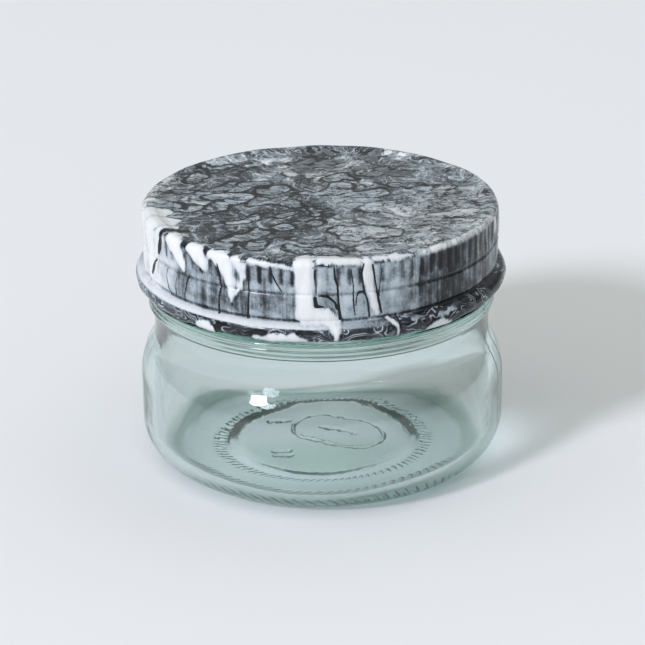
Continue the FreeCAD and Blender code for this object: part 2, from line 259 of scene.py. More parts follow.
class Graph:
    """A short way to write a material's nodes."""

    def __init__(self, name):
        self.material = bpy.data.materials.new(name)
        self.material.use_nodes = True
        self.nodes = self.material.node_tree.nodes
        self.links = self.material.node_tree.links
        self.nodes.clear()
        self.output = self.nodes.new("ShaderNodeOutputMaterial")
        self.shader = self.nodes.new("ShaderNodeBsdfPrincipled")
        self.links.new(self.shader.outputs[0], self.output.inputs["Surface"])

    def put(self, value, socket):
        if isinstance(value, bpy.types.NodeSocket):
            self.links.new(value, socket)
        else:
            socket.default_value = value

    def math(self, operation, *values):
        node = self.nodes.new("ShaderNodeMath")
        node.operation = operation
        for value, socket in zip(values, node.inputs):
            self.put(value, socket)
        return node.outputs[0]

    def vector(self, operation, *values):
        node = self.nodes.new("ShaderNodeVectorMath")
        node.operation = operation
        for value, socket in zip(values, node.inputs):
            self.put(value, socket)
        return node.outputs[0]

    def scaled(self, vector, factor):
        node = self.nodes.new("ShaderNodeVectorMath")
        node.operation = "SCALE"
        self.put(vector, node.inputs[0])
        self.put(factor, node.inputs["Scale"])
        return node.outputs[0]

    def place(self):
        """Object position in millimetres."""
        coordinates = self.nodes.new("ShaderNodeTexCoord")
        return self.scaled(coordinates.outputs["Object"], 1 / MM)

    def stretched(self, vector, across, back, up):
        return self.vector("MULTIPLY", vector, (across, back, up))

    def parts(self, vector):
        node = self.nodes.new("ShaderNodeSeparateXYZ")
        self.put(vector, node.inputs[0])
        return node.outputs

    def noise(self, vector, scale, detail=2.0, roughness=0.5, distortion=0.0, colour=False):
        node = self.nodes.new("ShaderNodeTexNoise")
        for name, value in (("Vector", vector), ("Scale", scale), ("Detail", detail),
                            ("Roughness", roughness), ("Distortion", distortion)):
            self.put(value, node.inputs[name])
        return node.outputs["Color" if colour else "Fac"]

    def cells(self, vector, scale, feature="F1"):
        node = self.nodes.new("ShaderNodeTexVoronoi")
        node.feature = feature
        self.put(vector, node.inputs["Vector"])
        self.put(scale, node.inputs["Scale"])
        return node.outputs

    def swing(self, *values, **options):
        """Noise about zero."""
        return self.math("SUBTRACT", self.noise(*values, **options), 0.5)

    def thread(self, value, wide, narrow):
        """A thin line wherever this noise passes its middle."""
        return self.remap(self.math("ABSOLUTE", self.math("SUBTRACT", value, 0.5)), wide, narrow)

    def mix(self, share, first, second):
        """first where share is 0, second where it is 1."""
        rest = self.math("MULTIPLY", first, self.math("SUBTRACT", 1.0, share))
        return self.math("ADD", self.math("MULTIPLY", second, share), rest)

    def ramp(self, value, *stops):
        """Colour ramp; each stop is (place, colour) with a grey number or an RGB triple."""
        node = self.nodes.new("ShaderNodeValToRGB")
        line = node.color_ramp.elements
        while len(line) < len(stops):
            line.new(0.5)
        for element, (place, colour) in zip(line, stops):
            rgb = (colour,) * 3 if isinstance(colour, (int, float)) else colour
            element.position, element.color = place, (*rgb, 1)
        self.put(value, node.inputs["Fac"])
        return node.outputs["Color"]

    def remap(self, value, low, high, to_low=0.0, to_high=1.0):
        node = self.nodes.new("ShaderNodeMapRange")
        node.interpolation_type = "SMOOTHSTEP"
        for name, number in (("Value", value), ("From Min", low), ("From Max", high),
                             ("To Min", to_low), ("To Max", to_high)):
            self.put(number, node.inputs[name])
        return node.outputs["Result"]

    def blend(self, factor, first, second, kind="MIX"):
        node = self.nodes.new("ShaderNodeMix")
        node.data_type, node.blend_type = "RGBA", kind
        first = (*first, 1) if isinstance(first, tuple) and len(first) == 3 else first
        second = (*second, 1) if isinstance(second, tuple) and len(second) == 3 else second
        self.put(factor, node.inputs["Factor"])
        self.put(first, node.inputs[6])
        self.put(second, node.inputs[7])
        return node.outputs[2]

    def layer(self, name):
        node = self.nodes.new("ShaderNodeAttribute")
        node.attribute_name = name
        return node.outputs["Fac"]

    def bump(self, height, distance, strength=1.0):
        node = self.nodes.new("ShaderNodeBump")
        self.put(height, node.inputs["Height"])
        node.inputs["Distance"].default_value = distance * MM
        node.inputs["Strength"].default_value = strength
        return node.outputs["Normal"]


# --- materials ----------------------------------------------------------------------------------


SHADE_TOP = 32.0  # height at which the painted shade by height ends


def glass_material():
    """Pale green soda-lime container glass: clear, slightly uneven, with a few seeds in it."""
    g = Graph("container_glass")
    spot = g.place()
    seeds = g.cells(spot, 0.21)["Distance"]
    seed = g.remap(seeds, 0.035, 0.02)
    orange_peel = g.noise(spot, 0.35, 3.0)
    g.put(g.bump(g.math("ADD", orange_peel, seed), 0.05, 0.5), g.shader.inputs["Normal"])
    g.put(g.remap(g.noise(spot, 0.5), 0.35, 0.75, 0.0, 0.05), g.shader.inputs["Roughness"])
    # painted shade, darker green by place: in a band at the bead under the cap, slightly near the bottom,
    # in the heel, at the nicked ring and on the front half of the flat middle underneath
    x, y, z = g.parts(spot)
    body = g.ramp(g.math("DIVIDE", z, SHADE_TOP), (0.0, (0.96, 0.965, 0.935)), (0.14, 1.0),
                  (0.80, 1.0), (0.86, (0.96, 0.98, 0.97)), (0.89, (0.86, 0.92, 0.88)),
                  (0.92, (0.56, 0.68, 0.61)), (0.945, (0.56, 0.68, 0.61)), (0.985, (0.93, 0.97, 0.95)))
    reach = g.math("SQRT", g.math("ADD", g.math("MULTIPLY", x, x), g.math("MULTIPLY", y, y)))
    # painted shade: the heel darker green
    heel = g.math("MULTIPLY", g.remap(z, 2.0, 0.8), g.remap(reach, 22.5, 24.0))
    body = g.blend(heel, body, (0.52, 0.66, 0.58))
    # painted shade: darker green at the nicked ring underneath
    ring = g.math("MULTIPLY", g.remap(reach, 15.6, 16.6), g.remap(reach, 18.8, 17.8))
    body = g.blend(g.math("MULTIPLY", ring, g.remap(z, 1.5, 0.9)), body, (0.82, 0.88, 0.85))
    # painted shade: the front half of the flat middle underneath darker green
    disc_shade = g.math("MULTIPLY", g.remap(reach, 14.2, 12.5), g.remap(y, 1.0, -7.0))
    disc_shade = g.math("MULTIPLY", disc_shade, g.remap(z, 6.0, 5.0))
    body = g.blend(disc_shade, body, (0.78, 0.87, 0.81))
    facing = g.nodes.new("ShaderNodeLayerWeight")
    facing.inputs["Blend"].default_value = 0.5
    # painted shade: darker green where the glass is seen edge-on
    edge = g.ramp(facing.outputs["Facing"], (0.66, 1.0), (0.84, (0.84, 0.91, 0.88)),
                  (0.97, (0.40, 0.56, 0.48)))
    g.put(g.blend(1.0, body, edge, "MULTIPLY"), g.shader.inputs["Base Color"])
    g.shader.inputs["Transmission Weight"].default_value = 1.0
    g.shader.inputs["IOR"].default_value = 1.52
    tint = g.nodes.new("ShaderNodeVolumeAbsorption")
    tint.inputs["Color"].default_value = (0.47, 0.69, 0.66, 1)
    tint.inputs["Density"].default_value = 100.0
    g.links.new(tint.outputs[0], g.output.inputs["Volume"])
    # lamps shine through, less at the edges, where glass turns their light away
    passing = g.nodes.new("ShaderNodeBsdfTransparent")
    g.put(g.ramp(facing.outputs["Facing"], (0.35, 0.925), (0.9, 0.43)), passing.inputs["Color"])
    path, mix = g.nodes.new("ShaderNodeLightPath"), g.nodes.new("ShaderNodeMixShader")
    g.put(path.outputs["Is Shadow Ray"], mix.inputs["Fac"])
    g.put(g.shader.outputs[0], mix.inputs[1])
    g.put(passing.outputs[0], mix.inputs[2])
    g.put(mix.outputs[0], g.output.inputs["Surface"])
    return g.material


def tin_material():
    """Golden-grey lacquer on tinplate, seen only inside the cap."""
    g = Graph("lacquered_tinplate")
    spot = g.place()
    streaks = g.noise(g.stretched(spot, 0.15, 2.2, 2.2), 1.0, 4.0)
    blotch = g.noise(spot, 0.12, 3.0)
    mixed = g.math("MULTIPLY_ADD", blotch, 0.4, g.math("MULTIPLY", streaks, 0.6))
    lacquer = g.ramp(mixed, (0.3, (0.50, 0.47, 0.38)), (0.7, (0.68, 0.65, 0.56)))
    g.put(lacquer, g.shader.inputs["Base Color"])
    g.shader.inputs["Metallic"].default_value = 0.75
    g.put(g.remap(streaks, 0.3, 0.7, 0.26, 0.4), g.shader.inputs["Roughness"])
    g.put(g.bump(streaks, 0.01, 0.4), g.shader.inputs["Normal"])
    return g.material


def gasket_material():
    """Cream plastisol, a little speckled."""
    g = Graph("plastisol")
    spot = g.place()
    grain = g.noise(spot, 3.0, 3.0)
    cream = g.ramp(grain, (0.35, (0.62, 0.58, 0.48)), (0.65, (0.72, 0.69, 0.60)))
    g.put(cream, g.shader.inputs["Base Color"])
    g.put(g.remap(grain, 0.3, 0.7, 0.42, 0.55), g.shader.inputs["Roughness"])
    g.shader.inputs["Subsurface Weight"].default_value = 0.1
    g.put(g.bump(grain, 0.02, 0.5), g.shader.inputs["Normal"])
    return g.material


# --- poured paint skin --------------------------------------------------------------------------

SIDE, CURL, CURL_HEIGHT, CURL_PAINT, CURL_METAL = 28.9, 28.65, 31.95, 1.55, 1.2
COAT_END = -128
FLUTES = 104
COAT_SEGMENTS = 1040
LOOK_DOWN = 0.406  # how far out a point must be to look as if it were 1 mm lower, seen from the front

# White pours down the side: lists of (bearing, height, half width). Heights follow the skirt, and run on
# over the rim (above 43) and round the curl (below 33.5).
POURS = [
    [(-55, 43.2, 1.2), (-52.5, 42.4, 1.6), (-50, 41.2, 1.3), (-48.2, 40.0, 0.9), (-47.2, 39.0, 0.45)],
    [(-44.5, 43.0, 1.1), (-41.5, 42.5, 1.5), (-39.5, 41.4, 1.1), (-38.4, 40.5, 0.5)],
    [(-35.5, 43.0, 0.9), (-32.2, 42.6, 1.4), (-30.2, 41.2, 1.2), (-29, 39.2, 0.85), (-28.5, 37.2, 0.5),
     (-28.4, 35.9, 0.2)],
    [(-27, 42.9, 0.8), (-25.2, 42.0, 0.75), (-24.5, 40.4, 0.45), (-25.2, 38.6, 0.3), (-27, 37.4, 0.2)],
    [(-22, 43.0, 0.4), (-17, 42.8, 0.4), (-12, 42.7, 0.3), (-9, 42.3, 0.3)],
    [(-5.5, 44.0, 1.5), (-4.8, 42.8, 1.5), (-4.7, 40.0, 1.3), (-5.0, 37.0, 1.35), (-4.8, 34.9, 1.6)],
    [(-4.8, 35.1, 1.4), (-1.5, 34.7, 1.25), (1.5, 34.6, 1.1), (3.6, 33.6, 0.8), (4.2, 32.0, 0.6),
     (4.4, 30.8, 0.3)],
    # painted highlight: this stroke and the one two lines below are a white band along the rim's rounded
    # edge at the front right
    [(0, 43.9, 0.9), (5, 43.7, 0.8), (11, 43.4, 0.7)],
    [(14.2, 43.5, 0.7), (14.4, 41.0, 0.7), (15.4, 38.4, 0.5), (16.7, 36.0, 0.5), (17.3, 34.6, 0.4)],
    [(17, 43.5, 0.45), (24, 43.3, 0.4), (30, 43.2, 0.2)],
    [(-80, 44.5, 2.2), (-79, 41.0, 2.0), (-77, 37.0, 1.5), (-76, 34.5, 0.9)],
    [(-70, 44.6, 2.4), (-70, 41.5, 2.2), (-69, 38.0, 1.7), (-68.5, 35.4, 1.3), (-68, 34.2, 0.8)],
    [(-63, 44.2, 0.9), (-63.5, 40.0, 0.8), (-65, 36.0, 0.6)],
    [(-39.2, 30.75, 0.55), (-37, 30.95, 0.8), (-34.6, 30.75, 0.55)],
    [(-20, 30.55, 0.3), (-15, 30.75, 0.75), (-9, 30.85, 0.7), (-4.5, 30.6, 0.35)],
    [(33.5, 30.4, 0.3), (37.5, 30.75, 0.85), (41.8, 30.5, 0.35)],
    [(20.5, 33.6, 0.25), (22.6, 32.2, 0.2), (23.3, 30.6, 0.15)],
]

# Thin black lines where the pours parted: (bearing, height, half width).
CRACKS = [
    [(-45.3, 38.2, 0.2), (-46.2, 36.9, 0.13), (-47.2, 35.2, 0.1), (-47.6, 33.7, 0.13)],
    [(-33.5, 41.6, 0.1), (-32.7, 39.7, 0.14), (-32.1, 38.0, 0.17), (-32.9, 36.2, 0.14), (-33.2, 33.6, 0.2)],
    [(-22.6, 41.5, 0.12), (-22.5, 38.0, 0.12), (-22.7, 36.0, 0.14), (-23.0, 33.7, 0.2)],
    [(-15.5, 42.4, 0.13), (-15.2, 41.4, 0.16), (-13.6, 39.8, 0.1), (-12.0, 38.5, 0.08)],
    [(4.1, 42.5, 0.1), (4.3, 40.8, 0.17), (5.1, 39.6, 0.15), (5.3, 37.0, 0.13), (5.8, 34.2, 0.25)],
    [(9.3, 42.0, 0.07), (9.9, 39.5, 0.08), (9.9, 36.6, 0.1), (10.4, 34.6, 0.08)],
    [(13.3, 43.0, 0.09), (12.5, 41.3, 0.14), (12.9, 39.6, 0.12), (13.3, 38.4, 0.16)],
    [(13.3, 38.4, 0.2), (11.6, 38.4, 0.17), (10.9, 37.6, 0.08), (10.6, 36.2, 0.08)],
    [(13.3, 38.3, 0.1), (14.3, 36.8, 0.13), (14.9, 34.2, 0.14)],
    [(16.0, 42.6, 0.13), (16.6, 40.4, 0.12), (17.2, 38.4, 0.1), (17.8, 36.6, 0.2), (18.7, 34.6, 0.13)],
    [(19.0, 41.6, 0.08), (18.2, 39.2, 0.07), (17.9, 37.4, 0.09)],
    [(-1.6, 41.2, 0.08), (-1.4, 38.4, 0.08)],
    [(-2.6, 42.5, 0.06), (-0.5, 43.0, 0.08), (2.4, 42.7, 0.06)],
    [(-56.5, 38.0, 0.08), (-57.4, 36.4, 0.08), (-56.2, 34.6, 0.13), (-55, 34.0, 0.1)],
    [(-51.5, 36.9, 0.06), (-52.1, 35.6, 0.09), (-51.8, 34.2, 0.15)],
    [(-55, 45.1, 0.15), (-58, 44.7, 0.35), (-60.5, 43.6, 0.4), (-60.5, 42.0, 0.45), (-61.5, 40.6, 0.45),
     (-62.2, 39.4, 0.2)],
    [(-64, 38.3, 0.2), (-66, 36.6, 0.45), (-67.2, 35.4, 0.3)],
    [(23.6, 34.0, 0.1), (23.8, 32.4, 0.16), (24.0, 31.5, 0.1)],
    [(-0.5, 38.0, 0.1), (2.0, 37.9, 0.22), (4.2, 36.9, 0.14), (4.9, 35.9, 0.25)],
    [(-1.8, 37.6, 0.25), (-1.5, 36.3, 0.3), (0.6, 36.2, 0.12)],
    [(32, 41.0, 0.1), (32, 36.2, 0.1)],
]

FAR = 9.0  # a distance beyond the reach of any stroke or cell
CELL_COUNT, CELL_REACH, CELL_POWER = 58, 26.0, 2.6


def scatter_cells():
    """Pale cells in the paint on the top: (x, y, half length, half width, lean in degrees, lightness).

    They are long and lean inwards on the left, larger and paler at the front right, small and dark at
    the back, and each keeps clear of the ones before it."""
    chance = random.Random(7)
    cells = []
    while len(cells) < CELL_COUNT:
        reach, turn = CELL_REACH * math.sqrt(chance.random()), chance.uniform(-math.pi, math.pi)
        x, y = reach * math.sin(turn), -reach * math.cos(turn)
        left, right, back = x < -4, x > 5 and y < 4, y > 12 and x > -16
        half_long = chance.uniform(0.9, 1.8) if back else chance.uniform(1.3, 4.4 if right else 3.6)
        half_wide = max(0.9, half_long * chance.uniform(0.42, 0.85))
        lean = chance.uniform(12, 50) if left else chance.uniform(-16, 22)
        light = chance.uniform(0.34, 0.46) if back else chance.uniform(0.54, 0.66) + 0.08 * right
        if all(math.hypot(x - cell[0], y - cell[1]) > 0.72 * (half_long + cell[2]) for cell in cells):
            cells.append((x, y, half_long, half_wide, lean, light))
    return cells


CELLS = scatter_cells()


def coat_section():
    """Outside from the middle of the top to under the curl, then back along the metal."""
    curl = (CURL, CURL_HEIGHT)
    points = [(0, 42.92), (12, 42.95), (22, 42.97), (25.6, 43.02), (26.3, 43.16), (26.9, 43.4)]
    points += [(27.3, COAT_TOP - 0.02)] + arc((SIDE - 1.05, COAT_TOP - 1.05), 1.05, 88, 0, 0.1)
    points += [(SIDE, 38.5), (SIDE - 0.12, 38.28), (SIDE - 0.2, 38.1), (SIDE - 0.12, 37.92), (SIDE, 37.7)]
    points += [(SIDE, 34.5), (SIDE - 0.08, 34.1), (SIDE - 0.25, 33.85), (SIDE - 0.2, 33.62)]
    points += arc(curl, CURL_PAINT, 82, COAT_END, 0.1) + arc(curl, CURL_METAL, COAT_END, 90, 0.3)
    points += [(28.5, 33.3), (28.5, 37.75), (28.25, 38.1), (28.5, 38.45), (28.5, 42.4)]
    points += arc((27.8, 42.4), 0.7, 0, 90, 0.3) + [(27.0, 43.1), (26.4, 42.5), (0, 42.5)]
    return points


def coat_spacing(radius, height, share):
    """Finest over the rim, the side and the curl, and coarse on the way back along the metal."""
    if share > 0.56:
        return 0.6
    return 0.16 if radius > 25 else 0.32


def seen_height(radius, height):
    """Height as it looks from the front, which keeps falling over the rim, down the side and round the
    curl. The pours and cracks are placed by it."""
    return height - LOOK_DOWN * (radius - SIDE)


def distance_to(strokes, bearing, seen, blend=0.35):
    """Distance in millimetres to the nearest stroke's edge, negative inside it."""
    nearest = np.full(bearing.shape, FAR)
    across = math.radians(1) * SIDE
    for stroke in strokes:
        for (b0, h0, w0), (b1, h1, w1) in zip(stroke, stroke[1:]):
            du = ((bearing - b0 + 180) % 360 - 180) * across
            dh = seen - h0
            run_u, run_h = (b1 - b0) * across, h1 - h0
            part = np.clip((du * run_u + dh * run_h) / (run_u ** 2 + run_h ** 2), 0, 1)
            away = np.hypot(du - part * run_u, dh - part * run_h) - (w0 + part * (w1 - w0))
            if blend:
                mix = np.clip(0.5 + 0.5 * (nearest - away) / blend, 0, 1)
                nearest = nearest * (1 - mix) + away * mix - blend * mix * (1 - mix)
            else:
                nearest = np.minimum(nearest, away)
    return nearest


def unseen_strokes():
    """Pours and cracks for the side that the front doesn't show, in the same manner."""
    chance = random.Random(41)
    pours, cracks = [], []
    bearing = 66.0
    while bearing < 272:
        bearing += chance.uniform(5, 15)
        drop, width = chance.uniform(1.5, 9.5), chance.uniform(0.5, 1.7)
        sway = chance.uniform(-2, 2)
        if chance.random() < 0.62:
            pours.append([(bearing, 42.3, width * 0.9), (bearing + sway * 0.4, 42.3 - drop * 0.4, width),
                          (bearing + sway, 42.3 - drop, width * 0.4)])
        top = chance.uniform(38, 42)
        place = bearing + chance.uniform(-4, 4)
        cracks.append([(place, top, 0.08), (place + sway, (top + 34) / 2, chance.uniform(0.1, 0.2)),
                       (place + sway * 1.4, 33.9, 0.12)])
        if chance.random() < 0.4:
            pours.append([(bearing - 2, 30.6, 0.4), (bearing + 1, 30.8, chance.uniform(0.5, 0.8)),
                          (bearing + 4, 30.6, 0.3)])
    return pours, cracks


MORE_POURS, MORE_CRACKS = unseen_strokes()


def pour_layer(bearing, radius, height, returning):
    """Distance to the edge of the nearest pour, growing inwards over the rim."""
    near = distance_to(POURS + MORE_POURS, bearing, seen_height(radius, height), blend=0.6)
    return np.where(returning | (radius < 20), FAR, near + 0.9 * np.maximum(25.6 - radius, 0))


def crack_layer(bearing, radius, height, returning):
    """Distance to the edge of the nearest crack."""
    near = distance_to(CRACKS + MORE_CRACKS, bearing, seen_height(radius, height), blend=0)
    return np.where(returning | (radius < 24), FAR, near)


def hill(value, middle, width):
    """1 at the middle, falling away on both sides."""
    return np.exp(-((value - middle) / width) ** 2)


def meander(seed, x, y, shortest, longest, waves=9):
    """Smooth unevenness over the panel, about -1 to 1, from waves of these lengths in millimetres."""
    chance = random.Random(seed)
    total = np.zeros_like(x)
    for _ in range(waves):
        course, length = chance.uniform(0, 2 * math.pi), chance.uniform(shortest, longest)
        along = x * math.cos(course) + y * math.sin(course)
        total += np.sin(2 * math.pi * along / length + chance.uniform(0, 2 * math.pi))
    return total / math.sqrt(waves)


def panel_cells(bearing, radius):
    """Distance in millimetres to the edge of the nearest pale cell, negative inside, and its lightness."""
    turn = np.radians(bearing)
    x, y = radius * np.sin(turn), -radius * np.cos(turn)
    x, y = (x + 0.9 * meander(51, x, y, 6, 16) + 0.3 * meander(52, x, y, 2.2, 5),
            y + 0.9 * meander(53, x, y, 6, 16) + 0.3 * meander(54, x, y, 2.2, 5))
    nearest, shade = np.full(radius.shape, FAR), np.zeros(radius.shape)
    for mid_x, mid_y, half_long, half_wide, lean, light in CELLS:
        lean = math.radians(lean)
        along = ((x - mid_x) * math.cos(lean) + (y - mid_y) * math.sin(lean)) / half_long
        over = (-(x - mid_x) * math.sin(lean) + (y - mid_y) * math.cos(lean)) / half_wide
        ring = np.power(np.abs(along) ** CELL_POWER + np.abs(over) ** CELL_POWER, 1 / CELL_POWER)
        away = (ring - 1) * half_wide
        shade = np.where(away < nearest, light, shade)
        nearest = np.minimum(nearest, away)
    return nearest, shade


def cell_layer(bearing, radius, height, returning):
    """Distance to the edge of the nearest pale cell."""
    return np.where(returning | (radius > 28.2), FAR, panel_cells(bearing, radius)[0])


def between_layer(bearing, radius, height, returning):
    """Lightness between the cells of the top: charcoal on the left and at the back, pale on the right."""
    turn = np.radians(bearing)
    x, y = radius * np.sin(turn), -radius * np.cos(turn)
    between = 0.16 + 0.10 * hill(x, -1, 13) * hill(y, 17, 11)
    between += 0.26 * smooth(-3, 9, x) * smooth(9, 1, y) + 0.15 * smooth(10, 17, x)
    between += 0.16 * hill(y, 3, 3) * hill(x, 3, 6)
    between += 0.16 * smooth(-15, -20, y) * smooth(-16, -4, x) + 0.08 * meander(61, x, y, 7, 20)
    rim = smooth(-22.5, -26.5, x + 1.2 * meander(67, x, y, 5, 14))
    between += (0.88 - between) * rim
    edge = smooth(26.2, 27.6, radius) * smooth(0, 15, bearing) * smooth(75, 55, bearing)
    return between + (0.66 - between) * edge


# Lightness by bearing: of the side, of the painted highlight ring on the curl's upper half, and of the
# paint and painted shade under the curl.
SIDE_TONES = ((-180, 0.45), (-150, 0.30), (-120, 0.50), (-95, 0.60), (-80, 0.86), (-66, 0.92), (-61, 0.88),
              (-57, 0.76), (-50, 0.53), (-30, 0.47), (-18, 0.50), (-6, 0.56), (6, 0.59), (18, 0.62),
              (25, 0.55), (39, 0.19), (46, 0.15), (52, 0.22), (62, 0.32), (76, 0.34), (92, 0.40),
              (120, 0.28), (150, 0.50), (180, 0.45))
HIGHLIGHT_RING_TONES = ((-180, 0.3), (-100, 0.5), (-85, 0.88), (-6, 0.84), (8, 0.62), (20, 0.36), (34, 0.12),
              (60, 0.14), (100, 0.45), (180, 0.3))
UNDER_PAINT_AND_SHADE_TONES = ((-180, 0.28), (-80, 0.45), (-52, 0.36), (-40, 0.24), (-26, 0.14), (-5, 0.24), (20, 0.28),
               (35, 0.15), (60, 0.15), (90, 0.3), (180, 0.28))


def tone_layer(bearing, radius, height, returning):
    """How light the paint is on the whole, before its veins and streaks, with painted shade in the grooves,
    in the flute hollows and under the curl, and a painted highlight on the curl: 0 black, 1 white.
    """
    turn = np.radians(bearing)
    x, y = radius * np.sin(turn), -radius * np.cos(turn)
    seen = seen_height(radius, height)
    between = between_layer(bearing, radius, height, returning)
    cell, light = panel_cells(bearing, radius)
    inside = smooth(0.9, 0.5, cell)
    top = between + (light - 0.05 + 0.05 * meander(63, x, y, 3, 9) - between) * inside
    side = np.interp(bearing, *zip(*SIDE_TONES))
    side -= 0.13 * smooth(38.2, 37.2, seen) * smooth(34.0, 35.6, seen) * hill(bearing, -25, 34)
    # painted shade: dark lines in the two grooves
    side -= 0.36 * hill(seen, 33.9, 0.24) + 0.20 * hill(seen, 38.15, 0.26)
    side += 0.08 * meander(71, bearing * 0.5, seen * 0.5, 1.2, 5)
    # painted shade: darker grey in the flute hollows
    hollow = (0.5 - 0.5 * np.cos(turn * FLUTES)) ** 2
    flute_shade = hollow * smooth(39.2, 40.0, seen) * smooth(42.8, 41.8, seen) * (height > 38.6)
    side -= flute_shade * (0.30 + 0.18 * meander(73, bearing * 0.5, seen * 0.2, 2, 9)) * smooth(-75, -50, bearing)
    # the curl: a painted highlight, a white ring on its upper half that fades to the right, away from the
    # lamp, and a dark lower half of darker paint with painted shade, with a pale line along its lowest edge
    highlight_ring = smooth(33.65, 33.45, seen) * smooth(32.3, 32.5, seen)
    ring = np.interp(bearing, *zip(*HIGHLIGHT_RING_TONES))
    side = np.where(seen < 33.8, side + (ring - side) * highlight_ring, side)
    under = np.interp(bearing, *zip(*UNDER_PAINT_AND_SHADE_TONES))
    side = side + (under - side) * smooth(32.5, 32.2, seen)
    side = side + (0.8 - side) * 0.8 * hill(seen, 30.25, 0.16)
    over = smooth(43.2, 44.2, seen)
    tone = side + (top - side) * over
    return np.where(returning, 0.3, tone)


def coat_relief(bearing, radius, height, returning):
    """Flutes, pours, cracks, slow swells on the top, and sags where the paint gathered under the curl."""
    seen = seen_height(radius, height)
    pour = distance_to(POURS + MORE_POURS, bearing, seen, blend=0.6)
    crack = distance_to(CRACKS + MORE_CRACKS, bearing, seen, blend=0)
    thick = smooth(0.6, -0.9, pour)
    flute = 0.5 + 0.5 * np.cos(np.radians(bearing) * FLUTES)
    fluted = smooth(38.5, 39.3, height) * smooth(43.3, 42.5, height) * (radius > 27)
    uneven = 0.55 + 0.45 * ripple(23, bearing, height, 7, across=17)
    push = -0.10 * (1 - flute) * fluted * (1 - 0.8 * thick) * np.clip(uneven, 0.1, 1.2)
    push += 0.13 * thick * smooth(22, 26, radius)
    push -= 0.06 * smooth(0.12, -0.1, crack) * (radius > 25)
    push += 0.05 * ripple(29, bearing, height, 10, across=23, upward=1.1) * smooth(0, 3, radius)
    x, y = radius * np.sin(np.radians(bearing)), -radius * np.cos(np.radians(bearing))
    swell = np.sin(0.45 * x + 0.8 * np.sin(0.3 * y)) * np.sin(0.38 * y + 0.7 * np.sin(0.27 * x + 1))
    push += 0.05 * swell * smooth(26.5, 24, radius)
    sag = 0.16 * np.maximum(ripple(31, bearing, 0 * height, 9, across=31), 0) * hill(height, 30.7, 0.8)
    return np.where(returning, 0, push + sag)


def make_coat():
    section = resample(coat_section(), coat_spacing)
    end = arc((CURL, CURL_HEIGHT), CURL_PAINT, COAT_END, COAT_END - 1)[0]
    layers = {"pour": pour_layer, "crack": crack_layer, "tone": tone_layer, "cell": cell_layer,
              "between": between_layer}
    coat = lathe("poured_paint_skin", section, COAT_SEGMENTS, end, coat_relief, layers)
    coat.data.materials.append(paint_material())
    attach(coat, "lid")
    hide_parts("paint_coat")


class Flow:
    """The fields that all the paint's parts share: places bent by its flow, and its noises."""

    def __init__(self, g):
        self.g, self.spot = g, g.place()
        self.tone, self.cell = g.layer("tone"), g.layer("cell")
        self.height = g.parts(self.spot)["Z"]
        self.flow = g.stretched(self.spot, 1, 1, 0.13)
        centred = (0.5, 0.5, 0.5)
        self.slow = g.vector("SUBTRACT", g.noise(self.flow, 0.09, 2.0, colour=True), centred)
        self.quick = g.vector("SUBTRACT", g.noise(self.flow, 0.38, 3.0, colour=True), centred)
        self.bent = self.carried(self.flow, 12.0, 3.6)
        self.drawn = g.swing(g.stretched(self.bent, 0.25, 1.6, 1.0), 0.6, 5.0, 0.6, 0.6)
        self.fine = g.swing(self.bent, 2.1, 4.0, 0.65, 1.0)
        self.speck = g.swing(self.spot, 2.4, 4.0, 0.7)

    def carried(self, place, far, near):
        """A place carried along by the slow flow and the quick one."""
        drift = self.g.vector("ADD", self.g.scaled(self.slow, far), self.g.scaled(self.quick, near))
        return self.g.vector("ADD", place, drift)

    def apart(self, *offset):
        """The bent place moved away, for a noise of its own."""
        return self.g.vector("ADD", self.bent, offset)


def small_cells(g, f, outside):
    """How much the small cells that crowd between the large ones lighten the paint."""
    edge = g.cells(f.bent, 0.30, "DISTANCE_TO_EDGE")["Distance"]
    shade = g.parts(g.cells(f.bent, 0.30)["Color"])["X"]
    width = g.remap(g.noise(f.flow, 0.16), 0.4, 0.65, 0.05, 0.26)
    small = g.remap(g.math("DIVIDE", edge, width), 0.5, 1.0)
    crowd = g.math("MULTIPLY", outside, g.remap(g.noise(f.flow, 0.13, 1.0), 0.42, 0.60))
    lift = g.math("MULTIPLY", g.math("MULTIPLY", small, crowd), g.math("MULTIPLY_ADD", shade, 0.34, 0.10))
    return g.math("MULTIPLY", lift, g.remap(f.tone, 0.55, 0.30, 0.15, 1.0))


